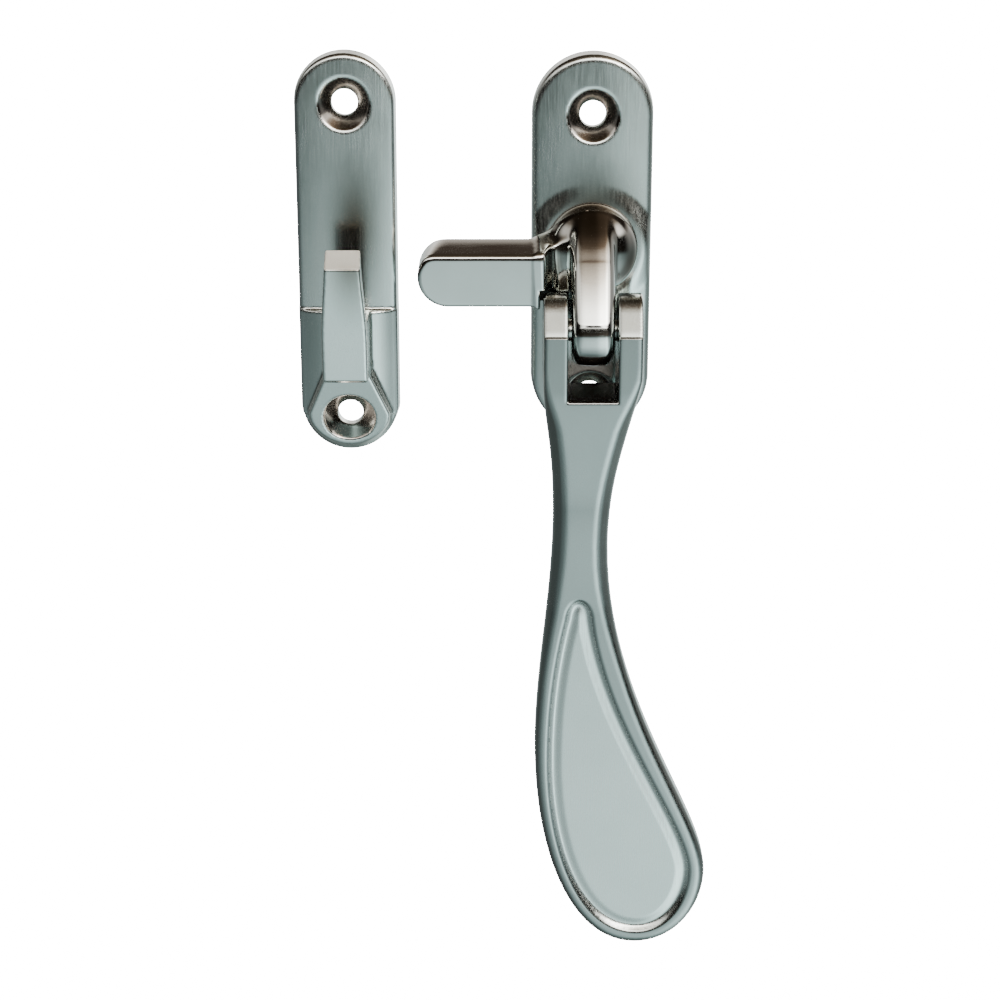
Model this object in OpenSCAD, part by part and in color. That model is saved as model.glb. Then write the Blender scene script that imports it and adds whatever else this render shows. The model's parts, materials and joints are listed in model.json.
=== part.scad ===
// Casement fastener with a fork-jointed spoon handle, and its hook plate.
// Frame: the fastener's back face lies on Y = 0 and its front looks towards -Y.
// The origin is the point on that face midway between the backplate's two screws. +Z is up.

/* [Backplate] */
// Width of the fastener's backplate
back_w = 21; // [20:0.5:24]
// Length of the fastener's backplate
back_l = 67; // [64:1:74]
// Thickness of the fastener's backplate
back_t = 4.5; // [4:0.1:5]

/* [Screw holes] */
// Radius of each screw hole
screw_r = 2.25; // [2:0.05:2.5]
// Radius of the countersink's mouth
sink_r = 4.6; // [4.2:0.1:4.8]
// Distance from each plate's lower end to its lower screw
low_screw = 6.8; // [6.6:0.1:8.8]

/* [Spindle] */
// Radius of the spindle that the nose turns on
spindle_r = 4; // [3.5:0.1:4]
// Radial running clearance of the spindle and of the knuckle pin
running_gap = 0.05; // [0.02:0.01:0.08]
// Radius of the recess behind the backplate
recess_r = 6; // [5.8:0.1:6.5]

/* [Nose] */
// Reach of the nose from the spindle's axis
nose_reach = 30; // [27:0.5:31]
// Lowest point of the nose at rest
nose_low = -8.4; // [-8.6:0.1:-8]
// Highest point of the nose at rest, at its back edge
nose_high = 2.1; // [1.6:0.1:2.4]
// Fall of the nose's top from its back edge to its front edge
nose_fall = 1.4; // [0:0.1:2]
// Front face of the nose, as a distance from the back face
nose_front = 13.4; // [12.5:0.1:13.5]
// Radius of the round hub under the nose
hub_r = 8.3; // [7.8:0.1:8.5]

/* [Knuckle] */
// Distance from the back face to the knuckle pin's axis
knuckle_out = 12.2; // [12.1:0.1:12.5]
// Distance from the spindle's axis down to the knuckle pin's axis
knuckle_drop = 12.4; // [12.2:0.1:12.8]
// Radius of the round ends of the eye and of the fork's lugs
knuckle_r = 6.3; // [6:0.1:6.4]
// Radius of the knuckle pin
pin_r = 2; // [1.8:0.1:2.4]
// Width of the eye between the lugs
eye_w = 7.4; // [7:0.1:7.6]
// Width of the fork's slot
slot_w = 8.6; // [8.4:0.1:9]
// Width across the fork's lugs
fork_w = 17; // [16.5:0.1:17.5]

/* [Handle] */
// Thickness of the spoon end
spoon_t = 6; // [5:0.5:7]
// Depth of the panel sunk in the spoon's face
panel_depth = 0.6; // [0.4:0.1:0.8]

/* [Hook plate] */
// Width of the hook plate
hook_w = 17.6; // [17:0.2:18]
// Length of the hook plate
hook_l = 70.6; // [69:0.2:72]
// Thickness of the hook plate
hook_t = 4; // [3.6:0.1:4.4]
// Distance between the centre lines of the two plates
plates_apart = 42.5; // [42.5:0.5:50]
// Width of the hook
tongue_w = 7.8; // [7:0.1:8]

/* [Hidden] */
fine = 96;
steps = 14;
eps = 0.01;
through = 60;
clear = 1;

// Screw positions and the hook plate's place
back_screws = [(back_l - back_w) / 2, low_screw - back_l / 2];
spindle_z = -(back_screws[0] + back_screws[1]) / 2;
hook_x = -plates_apart;
hook_z = -1.6;
hook_screws = [hook_z + (hook_l - hook_w) / 2, hook_z + low_screw - hook_l / 2];

// The washers and the rivet's head stack up in the recess behind the backplate
head_back = 0.2;
head_front = 1.0;
washer_gap = 0.03;
flat_front = 1.5;
wave_front = 2.1;
recess_depth = wave_front + washer_gap;
head_r = 5.3;
washer_r = 5.6;
rivet_front = 8.5;

// The nose turns this far in front of the backplate
turn_gap = 0.05;
nose_gap = 0.4;
nose_back = back_t + nose_gap;
root_front = 9.2;
dome_r = 9.6;
dome_out = 0.6;
tip_r = (nose_high - nose_low) / 2;
nose_root = fork_w / 2;
lug_clearance = 0.5;
neck_foot = -6.8;
eye_meet = 20;

// Fork and grip
slot_low = -23.6;
fork_low = -24.5;
neck_z = -44;
neck_t = 8;
toe_z = -130.4;
panel_top = -62;

// Hook: its mouth opens upwards, between the hook and the plate
mouth_out = 14;
tongue_out = 18;
tongue_top = 0;
ledge_z = -11;
tongue_foot = -21.4;
buried = 1;
ridge_low = -30;
land_high = -20;
land_out = 9.5;
land_edge = 1.6;
land_inset = 1;
land_rise = 1;
tongue_edge = 1.5;
ridge_half = 8.6;
ridge_rise = 1.9;
ridge_r = (ridge_half * ridge_half + ridge_rise * ridge_rise) / (2 * ridge_rise);

function bez(a, b, c, d, t) =
    a * pow(1 - t, 3) + 3 * b * t * pow(1 - t, 2) + 3 * c * t * t * (1 - t) + d * pow(t, 3);
function curve(p) = [for (i = [0 : steps - 1]) bez(p[0], p[1], p[2], p[3], i / steps)];

// A shape drawn in X and Z, from one distance in front of the back face to another
module slab(near, far) {
    translate([0, -near, 0]) rotate([90, 0, 0]) linear_extrude(far - near) children();
}

// A profile drawn as [distance in front of the back face, Z], extruded across X
module across(width) {
    translate([width / 2, 0, 0])
        rotate([0, 0, 180]) rotate([90, 0, 90]) linear_extrude(width) children();
}

// A round bar along X through the knuckle's axis
module knuckle_bar(r, width) {
    translate([-width / 2, -knuckle_out, -knuckle_drop])
        rotate([0, 90, 0]) cylinder(r = r, h = width, $fn = fine);
}

// A round bar along Y on the spindle's axis
module spindle_bar(r, near, far) {
    translate([0, -near, 0]) rotate([90, 0, 0]) cylinder(r = r, h = far - near, $fn = fine);
}

// The modules measure from the spindle's axis. This sets them on the part's origin.
module placed() {
    translate([0, 0, spindle_z]) children();
}

module oblong(w, l) {
    square([w, l - w], center = true);
    for (side = [-1, 1]) translate([0, side * (l - w) / 2]) circle(r = w / 2, $fn = fine);
}

// Screw hole with a countersink whose mouth is at the plate's front face
module screw_hole(x, z, front) {
    sink_depth = sink_r - screw_r;
    translate([x, clear, z]) rotate([90, 0, 0]) cylinder(r = screw_r, h = through, $fn = fine);
    translate([x, sink_depth - front, z]) rotate([90, 0, 0])
        cylinder(r1 = screw_r, r2 = sink_r, h = sink_depth, $fn = fine);
    translate([x, -front + eps, z]) rotate([90, 0, 0])
        cylinder(r = sink_r, h = through, $fn = fine);
}

module backplate() {
    color([0.62, 0.65, 0.64]) difference() {
        slab(0, back_t) oblong(back_w, back_l);
        for (z = back_screws) screw_hole(0, z, back_t);
        spindle_bar(spindle_r + running_gap, -clear, through);
        spindle_bar(recess_r, -clear, recess_depth);
    }
}

module washer(near, far) {
    difference() {
        spindle_bar(washer_r, near, far);
        spindle_bar(spindle_r + running_gap, near - clear, far + clear);
    }
}

module flat_washer() {
    color([0.75, 0.75, 0.72]) washer(head_front + washer_gap, flat_front);
}

module wave_washer() {
    color([0.5, 0.52, 0.55]) washer(flat_front + washer_gap, wave_front);
}

module spindle_rivet() {
    color([0.7, 0.7, 0.68]) union() {
        spindle_bar(head_r, head_back, head_front);
        spindle_bar(spindle_r, head_back, rivet_front);
    }
}

// The nose, hub and eye are one casting
module nose_boss() {
    color([0.6, 0.6, 0.58]) difference() {
        union() {
            difference() {
                union() {
                    intersection() {
                        translate([0, -dome_out, 0]) sphere(r = dome_r, $fn = fine);
                        spindle_bar(hub_r, back_t + turn_gap, through);
                    }
                    intersection() {
                        union() {
                            slab(nose_back, nose_front) nose_outline(nose_root);
                            slab(nose_back, root_front) nose_outline(0);
                        }
                        across(2 * nose_reach) nose_profile();
                    }
                }
                knuckle_bar(knuckle_r + lug_clearance, fork_w + 2 * lug_clearance);
            }
            across(eye_w) neck_profile();
            knuckle_bar(knuckle_r, eye_w);
        }
        spindle_bar(spindle_r, 0, rivet_front);
        knuckle_bar(pin_r + running_gap, through);
    }
}

module nose_outline(root) {
    translate([-nose_reach + tip_r, nose_low]) square([nose_reach - tip_r - root, 2 * tip_r]);
    translate([-nose_reach + tip_r, nose_low + tip_r]) circle(r = tip_r, $fn = fine);
}

// End view of the nose, as [distance in front of the back face, Z]
module nose_profile() {
    polygon([
        [nose_back, nose_low], [nose_front, nose_low],
        [nose_front, nose_high - nose_fall], [nose_back, nose_high]
    ]);
}

// Gooseneck from the hub's front to the eye
module neck_profile() {
    foot = back_t + turn_gap;
    brow = [13.2, -0.4];
    meet = [knuckle_out + knuckle_r * cos(eye_meet), knuckle_r * sin(eye_meet) - knuckle_drop];
    polygon(concat(
        [[foot, neck_foot], [foot, 6.4]],
        curve([[5.4, 6.4], [10, 6], [12.2, 1], brow]),
        curve([brow, [14.6, -2.7], [17.1, -7.4], meet]),
        [meet, [knuckle_out, -knuckle_drop]]
    ));
}

module knuckle_pin() {
    color([0.72, 0.72, 0.7]) knuckle_bar(pin_r, fork_w);
}

// Front view of the handle, drawn round from the fork's left side to its right side
module handle_outline() {
    half = fork_w / 2;
    polygon(concat(
        [[-half, 0], [-half, -19]],
        curve([[-half, -20], [-half, -28], [-6.6, -32], [-6.6, -46]]),
        curve([[-6.6, -46], [-6.6, -60], [-9.6, -76], [-9.6, -90]]),
        curve([[-9.6, -90], [-9.6, -111], [-3, toe_z], [9.2, toe_z]]),
        curve([[9.2, toe_z], [17, toe_z], [22, -123], [22, -115.5]]),
        curve([[22, -115.5], [22, -104], [3.2, -82], [3.2, -51]]),
        curve([[3.2, -51], [3.2, -38], [half - 1.5, -29], [half, -20]]),
        [[half, -20], [half, 0]]
    ));
}

// Side view of the handle, as [distance in front of the back face, Z]
module handle_profile() {
    mid = knuckle_out;
    translate([mid, -knuckle_drop]) circle(r = knuckle_r, $fn = fine);
    polygon([
        [mid - knuckle_r, -knuckle_drop], [mid - knuckle_r, fork_low],
        [mid - neck_t / 2, neck_z], [mid - spoon_t / 2, panel_top], [mid - spoon_t / 2, toe_z - clear],
        [mid + spoon_t / 2, toe_z - clear], [mid + spoon_t / 2, panel_top], [mid + neck_t / 2, neck_z],
        [mid + knuckle_r, fork_low], [mid + knuckle_r, -knuckle_drop]
    ]);
}

module panel_outline() {
    polygon(concat(
        curve([[-3.6, -65], [-6.2, -76], [-6.8, -86], [-6.6, -95]]),
        curve([[-6.6, -95], [-6, -113], [0, -127], [9.4, -127]]),
        curve([[9.4, -127], [15, -127], [18.6, -121], [18.6, -115]]),
        curve([[18.6, -115], [18.4, -106], [2.6, -86], [0, -65]]),
        curve([[0, -65], [-0.3, -61], [-3.2, -61], [-3.6, -65]])
    ));
}

module handle() {
    face = knuckle_out + spoon_t / 2;
    color([0.66, 0.69, 0.68]) difference() {
        intersection() {
            slab(0, through) handle_outline();
            across(through) handle_profile();
        }
        translate([-slot_w / 2, -through / 2, slot_low]) cube([slot_w, through, through]);
        knuckle_bar(pin_r, through);
        slab(face - panel_depth, face + clear) panel_outline();
    }
}

// Fan-shaped land round the hook plate's lower screw
module fan_outline() {
    end_z = hook_z - (hook_l - hook_w) / 2;
    polygon([
        [-tongue_w / 2, tongue_foot + 1], [tongue_w / 2, tongue_foot + 1],
        [hook_w / 2 - land_edge, end_z], [land_edge - hook_w / 2, end_z]
    ]);
    translate([0, end_z]) circle(r = hook_w / 2 - land_inset, $fn = fine);
}

module hook_solid() {
    foot = hook_z - hook_l / 2;
    slab(0, hook_t) translate([0, hook_z]) oblong(hook_w, hook_l);
    // Ridge that the hook stands on, cut off square below the mouth
    intersection() {
        translate([0, ridge_r - hook_t - ridge_rise, ridge_low])
            cylinder(r = ridge_r, h = ledge_z - ridge_low, $fn = fine);
        slab(buried, mouth_out) translate([0, hook_z]) oblong(hook_w, hook_l);
    }
    // Land that slopes down to the plate's lower end
    intersection() {
        slab(buried, tongue_out) fan_outline();
        across(hook_w) polygon([
            [buried, land_high], [land_out, land_high], [9, tongue_foot - 1], [hook_t, foot], [buried, foot]
        ]);
    }
    across(tongue_w) polygon([
        [buried, tongue_foot], [buried, ledge_z],
        [mouth_out - tongue_edge, ledge_z], [mouth_out, ledge_z + tongue_edge],
        [mouth_out, tongue_top], [tongue_out - 1, tongue_top], [tongue_out, tongue_top - 1.4],
        [15, tongue_foot + 0.6], [14, tongue_foot]
    ]);
}

module hook_plate() {
    color([0.64, 0.67, 0.66]) difference() {
        translate([hook_x, 0, 0]) hook_solid();
        screw_hole(hook_x, hook_screws[0], hook_t);
        screw_hole(hook_x, hook_screws[1], hook_t + land_rise);
    }
}

placed() backplate();
placed() flat_washer();
placed() wave_washer();
placed() hook_plate();
placed() nose_boss();
placed() spindle_rivet();
placed() handle();
placed() knuckle_pin();
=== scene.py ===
import json
import math

import bmesh
import bpy
import numpy as np
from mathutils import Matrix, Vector


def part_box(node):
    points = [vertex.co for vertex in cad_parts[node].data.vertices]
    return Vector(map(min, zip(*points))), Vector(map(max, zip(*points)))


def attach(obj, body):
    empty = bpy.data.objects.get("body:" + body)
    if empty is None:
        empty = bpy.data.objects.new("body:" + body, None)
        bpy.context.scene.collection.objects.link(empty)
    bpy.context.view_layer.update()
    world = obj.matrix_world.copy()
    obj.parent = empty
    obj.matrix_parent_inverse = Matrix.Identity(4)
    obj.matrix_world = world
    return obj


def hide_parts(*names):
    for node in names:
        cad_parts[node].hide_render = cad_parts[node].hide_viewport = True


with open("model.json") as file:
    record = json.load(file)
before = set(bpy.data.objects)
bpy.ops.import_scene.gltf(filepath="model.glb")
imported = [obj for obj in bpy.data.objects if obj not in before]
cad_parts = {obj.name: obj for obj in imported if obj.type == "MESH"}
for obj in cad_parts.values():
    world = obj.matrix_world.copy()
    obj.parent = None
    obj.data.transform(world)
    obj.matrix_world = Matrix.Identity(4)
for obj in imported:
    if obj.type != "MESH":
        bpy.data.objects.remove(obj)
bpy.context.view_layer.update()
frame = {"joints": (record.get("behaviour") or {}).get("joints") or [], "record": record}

MM = 0.001


# Places and sizes, in millimetres, read from the frame, apart from the few plain numbers that it
# doesn't hold. Depths are measured from the back face, forwards, so a depth is minus the frame's Y.
# Z is measured from the spindle's axis.

def joint_place(name):
    """Depth of a joint's axis, and its Z in the frame."""
    joint = next(j for j in frame["joints"] if j["name"] == name)
    return -joint["pos_m"][1] / MM, joint["pos_m"][2] / MM


SPINDLE_Z = joint_place("nose_turn")[1]


def node_box(node):
    """A node's lowest and highest X, depth and Z."""
    low, high = (np.array(corner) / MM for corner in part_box(node))
    return (np.array([low[0], -high[1], low[2] - SPINDLE_Z]),
            np.array([high[0], -low[1], high[2] - SPINDLE_Z]))


def screw_pattern(name):
    """X of a plate's screws, the Z of each, and their radius."""
    mount = next(m for m in frame["record"]["mounts"] if m["name"] == name)
    x, z = mount["pos_m"][0] / MM, mount["pos_m"][2] / MM - SPINDLE_Z
    half = mount["dims"]["spacing_y_mm"] / 2
    return x, (z + half, z - half), mount["dims"]["hole_r_mm"]


PIN_D, PIN_Z = joint_place("handle_lift")
PIN_Z -= SPINDLE_Z
KNUCKLE_R = PIN_D - node_box("handle")[0][1]
PIN_R = (node_box("knuckle_pin")[1][1] - node_box("knuckle_pin")[0][1]) / 2
SPINDLE_R = 4.0
RUNNING = 0.05
BACK_LOW, BACK_HIGH = node_box("backplate")
HOOK_LOW, HOOK_HIGH = node_box("hook_plate")
HOOK_WIDTH, HOOK_LENGTH = HOOK_HIGH[0] - HOOK_LOW[0], HOOK_HIGH[2] - HOOK_LOW[2]
HOOK_T = 4.0
SINK_R = 4.6
HANDLE_TOE = node_box("handle")[0][2]
HANDLE_RIGHT = node_box("handle")[1][0]
FORK_HALF = (node_box("knuckle_pin")[1][0] - node_box("knuckle_pin")[0][0]) / 2
FINGER_TIP = node_box("nose_boss")[0][0]
NOSE_BASE = BACK_HIGH[1] + RUNNING

# How far the castings' edges are rounded
BORE_EDGE, EDGE, SOFT_EDGE, BROAD_EDGE = 0.2, 0.3, 0.5, 0.8


# Signed distances. Each takes and returns arrays, and is negative inside.

def smooth_max(a, b, k):
    """Intersection whose edge is rounded over about k."""
    h = np.maximum(k - np.abs(a - b), 0) / k
    return np.maximum(a, b) + h * h * k / 4


def smooth_min(a, b, k):
    """Union with a fillet of about k."""
    return -smooth_max(-a, -b, k)


def cut(body, tool, k):
    """A body less a tool, with the edge between them rounded."""
    return smooth_max(body, -tool, k)


def oblong(x, z, width, length):
    """A bar with round ends, standing on Z."""
    beyond = np.maximum(np.abs(z) - (length - width) / 2, 0)
    return np.hypot(x, beyond) - width / 2


def rounded_prism(outline, c, lo, hi, r):
    """An outline's distance carried from lo to hi along c, with edges of radius r."""
    q0 = outline + r
    q1 = np.abs(c - (lo + hi) / 2) - (hi - lo) / 2 + r
    outside = np.hypot(np.maximum(q0, 0), np.maximum(q1, 0))
    return outside + np.minimum(np.maximum(q0, q1), 0) - r


def polygon(a, b, corners):
    """Distance to a closed polygon in the plane of a and b."""
    a, b = np.broadcast_arrays(a, b)
    best = np.full(a.shape, np.inf)
    odd = np.zeros(a.shape, bool)
    for (x0, y0), (x1, y1) in zip(corners, np.roll(corners, -1, axis=0)):
        ex, ey = x1 - x0, y1 - y0
        if ex == 0 and ey == 0:
            continue
        wx, wy = a - x0, b - y0
        t = np.clip((wx * ex + wy * ey) / (ex * ex + ey * ey), 0, 1)
        best = np.minimum(best, (wx - ex * t) ** 2 + (wy - ey * t) ** 2)
        if ey != 0:
            odd ^= ((y0 > b) != (y1 > b)) & (a < ex * (b - y0) / ey + x0)
    return np.where(odd, -1, 1) * np.sqrt(best)


def bezier(points, steps=24):
    """Points along one cubic curve, without its last."""
    p = np.array(points, float)
    t = (np.arange(steps) / steps)[:, None]
    return p[0] * (1 - t) ** 3 + 3 * p[1] * t * (1 - t) ** 2 + 3 * p[2] * t * t * (1 - t) + p[3] * t ** 3


def chain(start, *curves):
    """Cubic curves end to end. Each gives its two handles and its end."""
    points = []
    for leave, arrive, end in curves:
        points.append(bezier([start, leave, arrive, end]))
        start = end
    return np.concatenate(points)


def blend_between(v, start, end):
    """0 before start, 1 after end, smooth between."""
    t = np.clip((v - start) / (end - start), 0, 1)
    return t * t * (3 - 2 * t)


# Meshes from distances

def surface_net(field, low, high, cell):
    """Vertices and quads on a field's zero, over a box. The vertices are then pulled onto it exactly."""
    before, beyond = 1.6, 2.6
    sides = [np.arange(a - before * cell, b + beyond * cell, cell) for a, b in zip(low, high)]
    grid = field(*np.meshgrid(*sides, indexing="ij", sparse=True))
    inside = grid < 0
    shape = np.array(grid.shape) - 1
    corners = [(i, j, k) for i in (0, 1) for j in (0, 1) for k in (0, 1)]

    def at(array, offset):
        return array[tuple(slice(o, o + n) for o, n in zip(offset, shape))]

    count = sum(at(inside, c).astype(int) for c in corners)
    mixed = (count > 0) & (count < 8)
    index = np.full(shape, -1)
    index[mixed] = np.arange(mixed.sum())
    cells = np.argwhere(mixed)
    total = np.zeros((len(cells), 3))
    hits = np.zeros(len(cells))
    for axis in range(3):
        step = np.eye(3, dtype=int)[axis]
        for corner in corners:
            if corner[axis]:
                continue
            a = at(grid, corner)[mixed]
            b = at(grid, tuple(np.array(corner) + step))[mixed]
            crossed = (a < 0) != (b < 0)
            t = np.where(crossed, a / np.where(a == b, 1, a - b), 0)
            total += crossed[:, None] * (np.array(corner) + t[:, None] * step)
            hits += crossed
    origin = np.array([s[0] for s in sides])
    points = origin + (cells + total / hits[:, None]) * cell
    points = settle(field, points, cell)
    return points, net_quads(inside, index)


def settle(field, points, cell, rounds=4, reach=0.01):
    """Moves points along the field's slope until they lie on its zero."""
    least_slope, longest_move = 0.2, 0.6
    for _ in range(rounds):
        value = field(*points.T)
        slope = np.zeros_like(points)
        for axis in range(3):
            shift = np.zeros(3)
            shift[axis] = reach
            slope[:, axis] = (field(*(points + shift).T) - field(*(points - shift).T)) / (2 * reach)
        size = np.maximum((slope ** 2).sum(axis=1), least_slope)
        move = (value / size)[:, None] * slope
        excess = np.maximum(np.linalg.norm(move, axis=1) / (longest_move * cell), 1)
        points = points - move / excess[:, None]
    return points


def net_quads(inside, index):
    """One quad round each grid edge that crosses the surface."""
    quads = []
    for axis in range(3):
        b, c = (axis + 1) % 3, (axis + 2) % 3
        first = inside.take(range(inside.shape[axis] - 1), axis)
        second = inside.take(range(1, inside.shape[axis]), axis)
        for state, turn in ((first & ~second, 1), (~first & second, -1)):
            edges = np.argwhere(state)
            ring = []
            for back_b, back_c in ((1, 1), (0, 1), (0, 0), (1, 0)):
                place = edges.copy()
                place[:, b] -= back_b
                place[:, c] -= back_c
                ring.append(index[tuple(place.T)])
            quads.append(np.stack(ring[::turn], axis=1))
    return np.concatenate(quads)


def mesh_object(name, points, faces):
    """An object from points given as X, depth and Z in millimetres."""
    mesh = bpy.data.meshes.new(name)
    place = np.column_stack([points[:, 0], -points[:, 1], points[:, 2] + SPINDLE_Z]) * MM
    mesh.from_pydata(place.tolist(), [], [tuple(f) for f in faces])
    mesh.validate()
    mesh.polygons.foreach_set("use_smooth", [True] * len(mesh.polygons))
    piece = bpy.data.objects.new(name, mesh)
    bpy.context.collection.objects.link(piece)
    return piece


def cast(name, field, node, cell):
    """A casting from its distance field, within its CAD node's box."""
    low, high = node_box(node)
    points, quads = surface_net(field, low, high, cell)
    points = np.clip(points, low, high)
    return mesh_object(name, points, quads[:, ::-1])


def lathe(name, profile, centre, axis, sides=96, wave=None):
    """A turned piece. The profile's points are (radius, place along the axis). One that starts and
    ends on the axis is a bar, and any other closes on itself as a ring."""
    points, rings = [], []
    for r, along in profile:
        count = sides if r > 0 else 1
        ring = []
        for i in range(count):
            angle = i * 2 * math.pi / count
            u, v = r * math.cos(angle), r * math.sin(angle)
            lift = wave(angle) if wave else 0
            ring.append(len(points))
            points.append((along, u, v) if axis == "x" else (u, along + lift, v))
        rings.append(ring)
    pairs = list(zip(rings, rings[1:]))
    if profile[0][0] > 0:
        pairs.append((rings[-1], rings[0]))
    faces = []
    for first, second in pairs:
        for i in range(sides):
            quad = [first[i % len(first)], second[i % len(second)],
                    second[(i + 1) % len(second)], first[(i + 1) % len(first)]]
            faces.append(tuple(dict.fromkeys(quad)))
    piece = mesh_object(name, np.array(points) + np.array(centre), faces)
    face_outwards(piece)
    return piece


def face_outwards(piece):
    shape = bmesh.new()
    shape.from_mesh(piece.data)
    bmesh.ops.recalc_face_normals(shape, faces=shape.faces)
    shape.to_mesh(piece.data)
    shape.free()


# Fields of the castings. x, d and z are X, depth and Z.

def screw_hole(x, d, z, place, mouth):
    """A countersunk hole whose mouth lies at depth mouth."""
    r = np.hypot(x - place[0], z - place[1])
    cone = np.minimum((r - place[2] - (d - mouth + SINK_R - place[2])) * math.sqrt(0.5), r - place[2])
    return np.maximum(cone, r - SINK_R)


def backplate_field(x, d, z):
    """A crowned plate with two screw holes, the spindle's bore, and a recess behind for its washers."""
    draft, roll = 0.06, 1.1
    seat_inner, seat_outer = 8.4, 11.5
    crown_drop, crown_power = 1.2, 2.2
    recess_r, recess_depth = 6.0, 2.13
    width, length = BACK_HIGH[0] - BACK_LOW[0], BACK_HIGH[2] - BACK_LOW[2]
    thick = BACK_HIGH[1]
    r = np.hypot(x, z)
    # The front falls away to both sides, but stays flat under the hub
    crown = crown_drop * (np.abs(x) / (width / 2)) ** crown_power * blend_between(r, seat_inner, seat_outer)
    body = smooth_max(oblong(x, z, width, length) + draft * d, d - thick + crown, roll)
    body = smooth_max(body, -d, EDGE)
    screw_x, places, hole_r = screw_pattern("backplate_screws")
    for screw_z in places:
        body = cut(body, screw_hole(x, d, z, (screw_x, screw_z, hole_r), thick), EDGE)
    body = cut(body, r - SPINDLE_R - RUNNING, BORE_EDGE)
    return cut(body, np.maximum(r - recess_r, d - recess_depth), BORE_EDGE)


# The handle: a fork with a slot, a waist, and a paddle with a sunk panel

SLOT_HALF, SLOT_LOW = 4.3, -23.6


def handle_outline():
    """Front view, from the fork's top down the left side and up the right."""
    half, toe, right = FORK_HALF, HANDLE_TOE, HANDLE_RIGHT
    grip = chain(
        [-half, -20],
        ([-half, -28], [-6.6, -32], [-6.6, -46]),
        ([-6.6, -60], [-9.6, -76], [-9.6, -90]),
        ([-9.6, -111], [-3, toe], [9.2, toe]),
        ([17, toe], [right, -123], [right, -115.5]),
        ([right, -104], [3.2, -82], [3.2, -51]),
        ([3.2, -38], [half - 1.5, -29], [half, -20]))
    return np.concatenate([[[-half, 0], [-half, -19]], grip, [[half, -20], [half, 0]]])


def panel_outline():
    """The panel, down its left side, round its foot and up to its narrow top."""
    return chain(
        [-3.6, -65],
        ([-6.2, -76], [-6.8, -86], [-6.6, -95]),
        ([-6, -113], [0, -127], [9.4, -127]),
        ([15, -127], [18.6, -121], [18.6, -115]),
        ([18.4, -106], [2.6, -86], [0, -65]),
        ([-0.3, -61], [-3.2, -61], [-3.6, -65]))


def handle_half(z):
    """Half the handle's thickness: the fork's, then the waist's, then the paddle's."""
    waist_half, paddle_half = 4, 3
    fork_end, waist_z, paddle_z = 22, 44, 64
    half = KNUCKLE_R + (waist_half - KNUCKLE_R) * blend_between(-z, fork_end, waist_z)
    return half - (waist_half - paddle_half) * blend_between(-z, waist_z, paddle_z)


def panel_depth(x, z):
    """How far the front is sunk: most in the groove along the panel's edge, less in its middle."""
    groove_depth, middle_rise = 0.8, 0.3
    rim, groove, middle = -1.1, 0.5, 2.2
    within = -polygon(x, z, panel_outline())
    sunk = groove_depth * blend_between(within, rim, groove)
    return sunk - middle_rise * blend_between(within, groove, middle)


def knuckle_field(d, z):
    """The fork's round end about the pin, with a flat brow on its upper front."""
    brow_angle, brow_reach = math.radians(28), 5.3
    knuckle = np.hypot(d - PIN_D, z - PIN_Z) - KNUCKLE_R
    brow = (d - PIN_D) * math.cos(brow_angle) + (z - PIN_Z) * math.sin(brow_angle) - brow_reach
    return smooth_max(knuckle, brow, BROAD_EDGE)


def handle_field(x, d, z):
    """The handle's outline, thick or thin by its height, with bevelled edges, a slot and the pin's bore."""
    fork_roll, more_roll, roll_start, roll_end = 0.5, 0.5, 24, 50
    waist_bevel, less_bevel, narrow_start, narrow_end = 2.0, 1.1, 52, 78
    bevel_start, bevel_end, bevel_edge = 17, 30, 0.7
    outline = polygon(x, z, handle_outline())
    half = handle_half(z)
    grip = smooth_max(d - PIN_D - half + panel_depth(x, z), PIN_D - d - half, SOFT_EDGE)
    side = np.where(z < PIN_Z, grip, knuckle_field(d, z))
    body = smooth_max(outline, side, fork_roll + more_roll * blend_between(-z, roll_start, roll_end))
    bevel = waist_bevel - less_bevel * blend_between(-z, narrow_start, narrow_end)
    bevel = bevel * blend_between(-z, bevel_start, bevel_end)
    corner = (outline + np.abs(d - PIN_D) - half + bevel) * math.sqrt(0.5)
    body = np.where(z < PIN_Z, smooth_max(body, corner, bevel_edge), body)
    slot = np.maximum(np.abs(x) - SLOT_HALF, SLOT_LOW - z)
    body = cut(body, slot, SOFT_EDGE)
    return cut(body, np.hypot(d - PIN_D, z - PIN_Z) - PIN_R, BORE_EDGE)


# The nose casting: a hub on the spindle, a finger to the left, and a gooseneck down to the pin

FINGER_LOW, FINGER_HIGH, FINGER_FALL = -8.4, 2.1, 1.4
FINGER_BACK, FINGER_FRONT = 4.9, 13.4


def hub_field(x, d, z):
    """The drum round the spindle, with a flattened dome on its front."""
    hub_r, dome_r, dome_d = 8.3, 9.6, 0.6
    base_edge, dome_edge = 0.4, 1.5
    r = np.hypot(x, z)
    drum = smooth_max(r - hub_r, NOSE_BASE - d, base_edge)
    return smooth_max(drum, np.hypot(r, d - dome_d) - dome_r, dome_edge)


def finger_outline(x, z):
    """Front view of the finger: a bar along X with a round tip."""
    tip_r = (FINGER_HIGH - FINGER_LOW) / 2
    reach = np.maximum(FINGER_TIP + tip_r - x, 0)
    return np.hypot(reach, z - FINGER_LOW - tip_r) - tip_r


def finger_top(d, z):
    """The finger's top face, which falls towards the front."""
    slope = FINGER_FALL / (FINGER_FRONT - FINGER_BACK)
    return (z - FINGER_HIGH + (d - FINGER_BACK) * slope) / math.hypot(1, slope)


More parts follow.
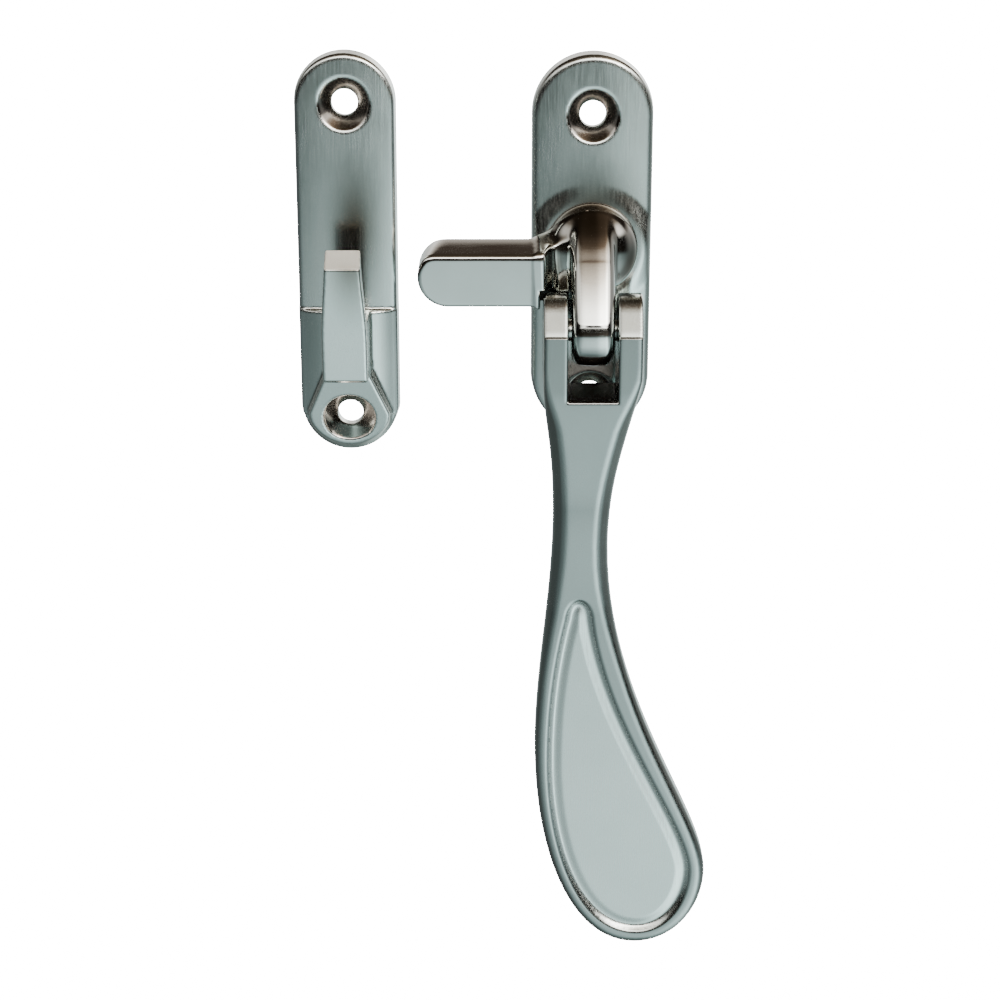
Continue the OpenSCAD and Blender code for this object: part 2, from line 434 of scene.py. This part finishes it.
def finger_field(x, d, z):
    """The finger that drops into the hook, from beside the fork to its tip."""
    lean, buried, tip_roll, front_edge = 0.08, 2, 0.9, 0.6
    outline = smooth_max(finger_outline(x, z), x + FORK_HALF - EDGE, BROAD_EDGE)
    outline = smooth_max(outline, finger_top(d, z), BROAD_EDGE)
    finger = rounded_prism(outline, d, FINGER_BACK - buried, FINGER_FRONT, tip_roll)
    finger = smooth_max(finger, FINGER_BACK - d, BORE_EDGE)
    front = (d - FINGER_FRONT + (FINGER_HIGH - FINGER_FALL - z) * lean) / math.hypot(1, lean)
    return smooth_max(finger, front, front_edge)


def root_field(x, d, z):
    """What joins the finger to the hub: low over the hub, and sweeping forwards beside the fork."""
    root_front, root_dip, root_start, set_back = 9.2, 1.2, 4.0, 0.6
    sweep = np.clip((-x - root_start) / (FORK_HALF - root_start), 0, 1)
    front = root_front - root_dip + (FINGER_FRONT - root_front) * sweep ** 3
    root = smooth_max(finger_outline(x, z), x, SOFT_EDGE)
    root = smooth_max(root, d - np.minimum(front, FINGER_FRONT - set_back), SOFT_EDGE)
    root = np.maximum(root, -x - FORK_HALF - SOFT_EDGE)
    root = smooth_max(root, finger_top(d, z), BROAD_EDGE)
    return np.maximum(root, NOSE_BASE - d)


def neck_outline():
    """The neck's side view: from the hub's top, forwards and down, until it meets the eye."""
    eye_meet = [18.12, -10.25]
    front = chain(
        [5.4, 6.4],
        ([10.0, 6.0], [12.2, 1.0], [13.2, -0.4]),
        ([14.6, -2.7], [17.1, -7.4], eye_meet))
    return np.concatenate([[[NOSE_BASE, -6.8], [NOSE_BASE, 6.4]], front, [eye_meet, [PIN_D, PIN_Z]]])


def neck_field(x, d, z):
    """The gooseneck and its eye, arched across."""
    eye_half, arch, eye_edge, roll = 3.7, 0.035, 0.1, 1.6
    eye = np.hypot(d - PIN_D, z - PIN_Z) - KNUCKLE_R
    side = smooth_min(polygon(d, z, neck_outline()), eye, eye_edge)
    return rounded_prism(side + arch * x * x, x, -eye_half, eye_half, roll)


def nose_boss_field(x, d, z):
    """Hub, root, finger and gooseneck, with room for the fork's lugs and bores for both pins."""
    root_fillet, finger_fillet, lug_gap = 2.5, 2.0, 0.5
    about_pin = np.hypot(d - PIN_D, z - PIN_Z)
    body = smooth_min(hub_field(x, d, z), root_field(x, d, z), root_fillet)
    body = smooth_min(body, finger_field(x, d, z), finger_fillet)
    lugs = np.maximum(about_pin - KNUCKLE_R - lug_gap, np.abs(x) - FORK_HALF - lug_gap)
    body = cut(body, lugs, SOFT_EDGE)
    body = smooth_min(body, neck_field(x, d, z), BROAD_EDGE)
    body = smooth_max(body, NOSE_BASE - d, BORE_EDGE)
    rivet_front = node_box("spindle_rivet")[1][1]
    body = cut(body, np.maximum(np.hypot(x, z) - SPINDLE_R, d - rivet_front), BORE_EDGE)
    return cut(body, about_pin - PIN_R - RUNNING, BORE_EDGE)


# The hook plate. Here x is measured from the plate's own middle

HOOK_HALF = 3.9
LEDGE_Z, FOOT_Z = -11.0, -21.4


def ridge_field(x, d, z):
    """A low arched ridge behind the hook, which ends at its top in a ledge."""
    half, rise, low = 7.3, 1.7, -30
    r = (half ** 2 + rise ** 2) / (2 * rise)
    ridge = np.hypot(x, d + r - HOOK_T - rise) - r
    ridge = smooth_max(ridge, z - LEDGE_Z, EDGE)
    return np.maximum(ridge, low - z)


def land_field(x, d, z, plan):
    """The raised land round the lower screw: it widens below the hook and slopes to the plate's end."""
    side_inset, end_inset, fan_length = 1.6, 0.8, 8.0
    side_edge, slope_edge = 0.4, 0.6
    widest = HOOK_WIDTH / 2 - side_inset
    widen = HOOK_HALF + (widest - HOOK_HALF) * np.clip((FOOT_Z - z) / fan_length, 0, 1)
    fan = smooth_max(np.abs(x) - widen, z - FOOT_Z - 1, side_edge)
    fan = smooth_max(fan, plan + end_inset, SOFT_EDGE)
    slope = polygon(d, z, np.array([
        [1, -20], [9.5, -20], [9, FOOT_Z - 1], [HOOK_T, HOOK_LOW[2]], [1, HOOK_LOW[2]]]))
    return smooth_max(fan, slope, slope_edge)


def hook_field(x, d, z):
    """The hook: its side view carried across, and narrower towards its lip."""
    mouth, throat_r, lip = 14.0, 1.5, 2.0
    narrowing, narrow_start, narrow_end = 0.9, -14, 2
    side = polygon(d, z, np.array([
        [1, FOOT_Z], [1, LEDGE_Z], [mouth - throat_r, LEDGE_Z], [mouth, LEDGE_Z + throat_r],
        [mouth, lip - 0.2], [mouth + 0.6, lip], [18, -0.6], [15, FOOT_Z + 0.6], [14, FOOT_Z]]))
    half = HOOK_HALF - narrowing * blend_between(z, narrow_start, narrow_end)
    return rounded_prism(side, x / half * HOOK_HALF, -HOOK_HALF, HOOK_HALF, SOFT_EDGE)


def hook_plate_field(x, d, z):
    """Plate, ridge, land and hook, with a screw hole through the plate and one through the land."""
    screw_x, places, hole_r = screw_pattern("hook_plate_screws")
    x = x - screw_x
    draft, crown_drop, crown_power, land_fillet = 0.08, 0.6, 2.5, 0.6
    mid_z = (HOOK_LOW[2] + HOOK_HIGH[2]) / 2
    plan = oblong(x, z - mid_z, HOOK_WIDTH, HOOK_LENGTH) + draft * d
    crown = crown_drop * (np.abs(x) / (HOOK_WIDTH / 2)) ** crown_power
    body = smooth_max(plan, d - HOOK_T + crown, BROAD_EDGE)
    body = smooth_min(body, np.maximum(ridge_field(x, d, z), plan), EDGE)
    body = smooth_min(body, land_field(x, d, z, plan), land_fillet)
    body = smooth_min(body, hook_field(x, d, z), SOFT_EDGE)
    body = smooth_max(body, -d, EDGE)
    for place, mouth_d in zip(places, (HOOK_T, HOOK_T + 1)):
        body = cut(body, screw_hole(x, d, z, (0, place, hole_r), mouth_d), EDGE)
    return body


# Materials

EVEN, ALONG_Z, ALONG_X = (1, 1, 1), (1, 1, 0.05), (0.05, 1, 1)
# Painted shade: the brown of dark reflections of nearby parts, laid on the metal in ellipses
REFLECTED_SHADE_BROWN = (0.10, 0.075, 0.05)
FLOOR_GLOW = 24


def new_material(name):
    material = bpy.data.materials.new(name)
    material.use_nodes = True
    material.node_tree.nodes.clear()
    return material, material.node_tree


def noise_texture(tree, coords, scale, stretch, detail):
    """Noise over the object, stretched along its axes."""
    mapping = tree.nodes.new("ShaderNodeMapping")
    mapping.inputs["Scale"].default_value = stretch
    texture = tree.nodes.new("ShaderNodeTexNoise")
    texture.inputs["Scale"].default_value = scale
    texture.inputs["Detail"].default_value = detail
    tree.links.new(coords.outputs["Object"], mapping.inputs["Vector"])
    tree.links.new(mapping.outputs["Vector"], texture.inputs["Vector"])
    return texture.outputs["Fac"]


def spread(tree, noise, low, high):
    """The middle of a noise's range, carried to low up to high."""
    node = tree.nodes.new("ShaderNodeMapRange")
    node.inputs["From Min"].default_value = 0.3
    node.inputs["From Max"].default_value = 0.7
    node.inputs["To Min"].default_value = low
    node.inputs["To Max"].default_value = high
    tree.links.new(noise, node.inputs["Value"])
    return node.outputs["Result"]


def smooth_ramp(tree, value, low, high):
    """0 below low, 1 above high, smooth between."""
    node = tree.nodes.new("ShaderNodeMapRange")
    node.interpolation_type = "SMOOTHSTEP"
    node.inputs["From Min"].default_value = low
    node.inputs["From Max"].default_value = high
    tree.links.new(value, node.inputs["Value"])
    return node


def colour_mix(tree, factor):
    node = tree.nodes.new("ShaderNodeMix")
    node.data_type = "RGBA"
    tree.links.new(factor, node.inputs["Factor"])
    return node


def painted_shade_patch(tree, coords, tone, x, z, half_width, half_height, strength):
    """Lays a soft brown ellipse of painted shade over a colour, where the metal would mirror a dark part
    nearby. Its place and sizes are in millimetres.
    """
    place = tree.nodes.new("ShaderNodeMapping")
    scale = np.array([1 / half_width, 0, 1 / half_height])
    place.inputs["Location"].default_value = -scale * np.array([x, 0, z + SPINDLE_Z])
    place.inputs["Scale"].default_value = scale / MM
    reach = tree.nodes.new("ShaderNodeVectorMath")
    reach.operation = "LENGTH"
    fade = smooth_ramp(tree, reach.outputs["Value"], 1.0, 0.0)
    fade.inputs["To Max"].default_value = strength
    patch = colour_mix(tree, fade.outputs["Result"])
    patch.inputs["B"].default_value = (*REFLECTED_SHADE_BROWN, 1)
    tree.links.new(coords.outputs["Object"], place.inputs["Vector"])
    tree.links.new(place.outputs["Vector"], reach.inputs["Vector"])
    tree.links.new(tone, patch.inputs["A"])
    return patch.outputs["Result"]


def satin_metal(name, colour, dark, roughness, grain=EVEN, grain_depth=0.02, painted_shades=(), metallic=1.0):
    """Plated metal: fine brushing stretched by grain, soft cloudiness from dark to colour, and brown
    patches of painted shade. Each patch is an ellipse: X, Z, half width, half height, strength."""
    brush_scale, cloud_scale, bump_height = 4200, 90, 0.00005
    material, tree = new_material(name)
    nodes, links = tree.nodes, tree.links
    coords = nodes.new("ShaderNodeTexCoord")
    brushed = noise_texture(tree, coords, brush_scale, grain, 3)
    cloudy = noise_texture(tree, coords, cloud_scale, EVEN, 4)
    clouds = colour_mix(tree, spread(tree, cloudy, 0.35, 1.0))
    clouds.inputs["A"].default_value = (*dark, 1)
    clouds.inputs["B"].default_value = (*colour, 1)
    tone = clouds.outputs["Result"]
    # Painted shade laid over the metal's own tone
    for patch in painted_shades:
        tone = painted_shade_patch(tree, coords, tone, *patch)
    rough = nodes.new("ShaderNodeMath")
    rough.operation = "ADD"
    links.new(spread(tree, brushed, roughness - 0.05, roughness + 0.05), rough.inputs[0])
    links.new(spread(tree, cloudy, -0.03, 0.03), rough.inputs[1])
    bump = nodes.new("ShaderNodeBump")
    bump.inputs["Strength"].default_value = grain_depth
    bump.inputs["Distance"].default_value = bump_height
    links.new(brushed, bump.inputs["Height"])
    shader = nodes.new("ShaderNodeBsdfPrincipled")
    shader.inputs["Metallic"].default_value = metallic
    links.new(tone, shader.inputs["Base Color"])
    links.new(rough.outputs["Value"], shader.inputs["Roughness"])
    links.new(bump.outputs["Normal"], shader.inputs["Normal"])
    output = nodes.new("ShaderNodeOutputMaterial")
    links.new(shader.outputs["BSDF"], output.inputs["Surface"])
    return material


def pale_floor():
    """Evenly lit paper."""
    material, tree = new_material("pale_floor")
    shader = tree.nodes.new("ShaderNodeEmission")
    shader.inputs["Color"].default_value = (1, 1, 1, 1)
    shader.inputs["Strength"].default_value = FLOOR_GLOW
    output = tree.nodes.new("ShaderNodeOutputMaterial")
    tree.links.new(shader.outputs["Emission"], output.inputs["Surface"])
    return material


# Stage

# The studio's colour by height, from straight below at 0 to straight above at 1
FRONT_ROOM = [
    (0.00, (0.01, 0.01, 0.01)), (0.04, (0.31, 0.41, 0.41)), (0.17, (0.98, 1.24, 1.24)),
    (0.28, (0.98, 1.24, 1.24)), (0.37, (0.78, 0.98, 0.98)), (0.43, (0.05, 0.04, 0.03)),
    (0.64, (0.01, 0.01, 0.01)), (0.70, (7.0, 6.7, 6.3)), (0.78, (5.5, 5.2, 4.8)),
    (0.84, (1.7, 1.45, 1.2)), (0.90, (0.28, 0.20, 0.14)), (1.00, (0.06, 0.045, 0.03))]
REAR_ROOM = [
    (0.00, (0.20, 0.24, 0.23)), (0.40, (0.80, 0.92, 0.90)), (0.64, (1.8, 1.7, 1.6)),
    (0.69, (0.9, 0.8, 0.7)), (0.74, (0.07, 0.05, 0.04)), (1.00, (0.06, 0.045, 0.03))]
# Its brightness from left to right: dark sides, and a window's glow on the right
ACROSS_ROOM = [
    (0.00, 0.15), (0.14, 0.25), (0.32, 0.50), (0.44, 0.95), (0.54, 1.0),
    (0.62, 1.9), (0.74, 2.5), (0.86, 0.70), (1.00, 0.25)]


def from_direction(tree, part):
    """Carries one part of a direction from -1 and 1 to 0 and 1."""
    node = tree.nodes.new("ShaderNodeMapRange")
    node.inputs["From Min"].default_value = -1
    tree.links.new(part, node.inputs["Value"])
    return node.outputs["Result"]


def colour_ramp(tree, value, stops, interpolation="LINEAR"):
    """A colour ramp with the given (place, colour) stops."""
    node = tree.nodes.new("ShaderNodeValToRGB")
    node.color_ramp.interpolation = interpolation
    elements = node.color_ramp.elements
    while len(elements) < len(stops):
        elements.new(0.5)
    for element, (place, colour) in zip(elements, stops):
        element.position = place
        element.color = (*colour, 1)
    tree.links.new(value, node.inputs["Fac"])
    return node.outputs["Color"]


def studio_world():
    """The room that the metal mirrors. In front it is grey-green below, black about the horizon and
    bright above that. Behind the object it is light up to a little above the horizon."""
    behind_start, behind_end = -0.30, 0.00
    world = bpy.data.worlds.new("studio")
    bpy.context.scene.world = world
    world.use_nodes = True
    tree = world.node_tree
    tree.nodes.clear()
    coords = tree.nodes.new("ShaderNodeTexCoord")
    split = tree.nodes.new("ShaderNodeSeparateXYZ")
    tree.links.new(coords.outputs["Generated"], split.inputs["Vector"])
    height = from_direction(tree, split.outputs["Z"])
    across = from_direction(tree, split.outputs["X"])
    behind = smooth_ramp(tree, split.outputs["Y"], behind_start, behind_end)
    room = colour_mix(tree, behind.outputs["Result"])
    tree.links.new(colour_ramp(tree, height, FRONT_ROOM), room.inputs["A"])
    tree.links.new(colour_ramp(tree, height, REAR_ROOM), room.inputs["B"])
    levels = [(place, (level, level, level)) for place, level in ACROSS_ROOM]
    tint = tree.nodes.new("ShaderNodeVectorMath")
    tint.operation = "MULTIPLY"
    tree.links.new(room.outputs["Result"], tint.inputs[0])
    tree.links.new(colour_ramp(tree, across, levels, "EASE"), tint.inputs[1])
    background = tree.nodes.new("ShaderNodeBackground")
    output = tree.nodes.new("ShaderNodeOutputWorld")
    tree.links.new(tint.outputs["Vector"], background.inputs["Color"])
    tree.links.new(background.outputs["Background"], output.inputs["Surface"])


def add_sun(name, direction, strength, angle):
    data = bpy.data.lights.new(name, "SUN")
    data.energy = strength
    data.angle = angle
    light = bpy.data.objects.new(name, data)
    light.visible_glossy = False
    bpy.context.collection.objects.link(light)
    light.rotation_euler = Vector(direction).to_track_quat("-Z", "Y").to_euler()


def add_floor():
    """A pale floor and a pale dome round it. Neither shows in the metal, which mirrors the studio."""
    pale = pale_floor()
    half, drop, segments = 8.0, 0.6, 48
    corners = [(x * half, y * half, -drop) for x, y in ((-1, -1), (1, -1), (1, 1), (-1, 1))]
    mesh = bpy.data.meshes.new("floor")
    mesh.from_pydata(corners, [], [(0, 1, 2, 3)])
    floor = bpy.data.objects.new("floor", mesh)
    shape = bmesh.new()
    bmesh.ops.create_uvsphere(shape, u_segments=segments, v_segments=segments // 2, radius=half)
    mesh = bpy.data.meshes.new("backdrop")
    shape.to_mesh(mesh)
    shape.free()
    backdrop = bpy.data.objects.new("backdrop", mesh)
    for part in (floor, backdrop):
        bpy.context.collection.objects.link(part)
        part.data.materials.append(pale)
        part.visible_glossy = False
        part.visible_diffuse = False
        part.visible_shadow = False


def add_camera():
    """Looks down on the object at the photograph's angle, from arm's length."""
    target_x, target_below_spindle = -0.0159, 0.0476
    distance, elevation, focal_per_width = 0.42, math.radians(19), 2.31
    sensor_width, clip_start = 36, 0.01
    target = Vector((target_x, 0, SPINDLE_Z * MM - target_below_spindle))
    data = bpy.data.cameras.new("camera")
    data.sensor_width = sensor_width
    data.lens = sensor_width * focal_per_width
    data.clip_start = clip_start
    camera = bpy.data.objects.new("camera", data)
    bpy.context.collection.objects.link(camera)
    away = Vector((0, -math.cos(elevation), math.sin(elevation)))
    camera.location = target + away * distance
    camera.rotation_euler = (-away).to_track_quat("-Z", "Y").to_euler()
    bpy.context.scene.camera = camera


# Pieces

def finish_piece(piece, node, body, material):
    piece.data.materials.append(material)
    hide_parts(node)
    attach(piece, body)


def give_second_material(piece, material, wanted):
    """Gives a second material to the faces for which wanted(x, depth, z, normal) holds, in millimetres. The
    second materials are painted shade, a painted highlight and the panel's finish.
    """
    piece.data.materials.append(material)
    index = len(piece.data.materials) - 1
    for face in piece.data.polygons:
        x, y, z = face.center / MM
        if wanted(x, -y, z - SPINDLE_Z, face.normal):
            face.material_index = index


# Tests for the faces with a second material: painted shade, a painted highlight and the panel's finish.
# Each says whether a face belongs, from its middle and its normal

# Painted shade: the slot's floor, which faces up at the foot of the slot
def on_slot_floor(x, d, z, normal):
    side_margin, near, faces_up = 0.1, 0.6, 0.5
    on_floor = abs(x) < SLOT_HALF + side_margin and abs(z - SLOT_LOW) < near
    return on_floor and normal.z > faces_up


def panel_test():
    """The sunk panel of the handle's paddle, found from its outline by a map made once."""
    x_range, z_range, cell, past_edge = (-8.0, 20.0), (-129.0, -60.0), 0.1, 0.4
    xs, zs = np.arange(*x_range, cell), np.arange(*z_range, cell)
    within = polygon(xs[:, None], zs[None, :], panel_outline()) < past_edge

    def inside(x, d, z, normal):
        i, k = round((x - x_range[0]) / cell), round((z - z_range[0]) / cell)
        on_map = 0 <= i < len(xs) and 0 <= k < len(zs)
        return on_map and d > PIN_D and bool(within[i, k])

    return inside


# Painted shade: the pockets round the fork's lugs
def in_lug_pocket(x, d, z, normal):
    neck_side, side_margin, round_margin = 4.0, 0.6, 0.7
    beside_neck = neck_side < abs(x) < FORK_HALF + side_margin
    return beside_neck and math.hypot(d - PIN_D, z - PIN_Z) < KNUCKLE_R + round_margin


# Painted shade: the hook's faces that look back at the plate, under its lip
def in_hook_throat(x, d, z, normal):
    above_plate, faces_back = 1, 0.5
    return d > HOOK_T + above_plate and normal.y > faces_back


# Painted highlight: the hook's top gets a pale colour for the light its lip catches
def on_hook_top(x, d, z, normal):
    hook_back, low, faces_up = 13.6, -2.0, 0.35
    return d > hook_back and z > low and normal.z > faces_up


# Painted shade: the countersinks' cones get a darker brown colour
def countersink_test(pattern):
    screw_x, places, _ = screw_pattern(pattern)
    rim, faces_front = 0.05, -0.2

    def inside(x, d, z, normal):
        near = min(math.hypot(x - screw_x, z - place) for place in places)
        return near < SINK_R - rim and normal.y < faces_front

    return inside


def make_castings():
    """The four castings, and on each a second material on some faces: painted shade in its recesses and
    countersinks, a painted highlight on the hook's top, and the sunk panel's finish on the handle.
    """
    quick_cell, full_cell = 0.5, 0.28
    cell = full_cell
    # Painted shade on the plates: brown ellipses round the hook and above the hub, where the plates mirror
    # them
    plate_metal = satin_metal(
        "satin_nickel_plate", (0.70, 0.75, 0.73), (0.64, 0.69, 0.67), 0.22, ALONG_Z,
        painted_shades=((-41.0, 3.5, 6.5, 17.0, 0.9), (0.5, 6.0, 13.0, 13.0, 0.95)))
    # Painted shade on the nose: brown ellipses on the hub's dome and beside the gooseneck
    nose_metal = satin_metal(
        "satin_nickel_nose", (0.66, 0.68, 0.66), (0.58, 0.60, 0.58), 0.10, ALONG_X, 0.01,
        painted_shades=((0.0, 5.5, 10.0, 10.0, 0.9), (-6.2, -3.0, 2.6, 8.0, 0.85), (7.5, -3.0, 5.0, 9.0, 0.85)))
    handle_metal = satin_metal(
        "satin_nickel_handle", (0.39, 0.42, 0.41), (0.35, 0.38, 0.37), 0.22, ALONG_Z)
    # Painted shade: near-black for the slot's floor, the lug pockets and the hook's throat, where shade
    # falls
    dark = satin_metal("recess_painted_shade", (0.035, 0.025, 0.02), (0.015, 0.01, 0.01), 0.5)
    panel = satin_metal("satin_nickel_panel", (0.70, 0.75, 0.73), (0.63, 0.68, 0.66), 0.26, ALONG_Z)
    # Countersinks: smoother than the plate, and coloured darker brown as painted shade in the cone
    countersink_shade = satin_metal(
        "countersink_painted_shade", (0.42, 0.40, 0.37), (0.34, 0.32, 0.30), 0.12, grain_depth=0.0)
    # Painted highlight: a pale, half-metallic colour on the hook's top, which stands in for light it
    # catches
    hook_top_highlight = satin_metal(
        "hook_top_painted_highlight", (0.80, 0.78, 0.70), (0.55, 0.52, 0.45), 0.45, grain_depth=0.1, metallic=0.5)
    rows = [
        ("backplate", backplate_field, "root", plate_metal, [
            (countersink_shade, countersink_test("backplate_screws"))]),
        ("hook_plate", hook_plate_field, "root", plate_metal, [
            (dark, in_hook_throat),
            (hook_top_highlight, on_hook_top),
            (countersink_shade, countersink_test("hook_plate_screws"))]),
        ("nose_boss", nose_boss_field, "nose", nose_metal, [
            (dark, in_lug_pocket)]),
        ("handle", handle_field, "lever", handle_metal, [
            (dark, on_slot_floor),
            (panel, panel_test())])]
    for node, field, body, metal, second_materials in rows:
        piece = cast(node + "_casting", field, node, cell)
        finish_piece(piece, node, body, metal)
        for second, wanted in second_materials:
            give_second_material(piece, second, wanted)


def make_pin(metal):
    low, high = node_box("knuckle_pin")
    bevel = 0.3
    pin = lathe("knuckle_pin_turned", [
        (0, low[0]), (PIN_R - bevel, low[0]), (PIN_R, low[0] + bevel),
        (PIN_R, high[0] - bevel), (PIN_R - bevel, high[0]), (0, high[0])],
        (0, PIN_D, PIN_Z), "x")
    finish_piece(pin, "knuckle_pin", "lever", metal)


def make_rivet(metal):
    """The spindle, with a low pan head behind the plate."""
    low, high = node_box("spindle_rivet")
    head_r, head_top, edge, bevel = high[0], 1.0, 0.1, 0.3
    rivet = lathe("spindle_rivet_turned", [
        (0, low[1] + 0.25), (1.2, low[1] + 0.1), (3.4, low[1]), (head_r - 0.5, low[1] + 0.12),
        (head_r, low[1] + 0.5), (head_r, head_top - edge), (head_r - edge, head_top), (SPINDLE_R, head_top),
        (SPINDLE_R, high[1] - bevel), (SPINDLE_R - bevel, high[1]), (0, high[1])],
        (0, 0, 0), "y")
    finish_piece(rivet, "spindle_rivet", "nose", metal)


def make_washer(node, metal, fill, waves):
    """A washer that takes up the given part of its node's height, and waves in the rest."""
    low, high = node_box(node)
    inner, outer, edge = SPINDLE_R + RUNNING, high[0], 0.1
    thick = (high[1] - low[1]) * fill
    swing = (high[1] - low[1] - thick) / 2
    start = low[1] + swing
    end = start + thick
    ring = lathe(node + "_turned", [
        (inner + edge, start), (outer - edge, start), (outer, start + edge), (outer, end - edge),
        (outer - edge, end), (inner + edge, end), (inner, end - edge), (inner, start + edge)],
        (0, 0, 0), "y", wave=lambda angle: swing * math.sin(waves * angle))
    finish_piece(ring, node, "root", metal)


def make_fixings():
    bright = satin_metal("bright_steel", (0.72, 0.72, 0.70), (0.62, 0.62, 0.61), 0.22)
    dull = satin_metal("spring_steel", (0.40, 0.41, 0.44), (0.30, 0.31, 0.34), 0.32)
    make_pin(bright)
    make_rivet(bright)
    make_washer("flat_washer", bright, fill=1.0, waves=0)
    make_washer("wave_washer", dull, fill=0.5, waves=3)


studio_world()
add_floor()
add_sun("key", direction=(0.25, 0.75, -1.0), strength=2.2, angle=math.radians(40))
add_camera()
make_castings()
make_fixings()

bpy.context.view_layer.update()
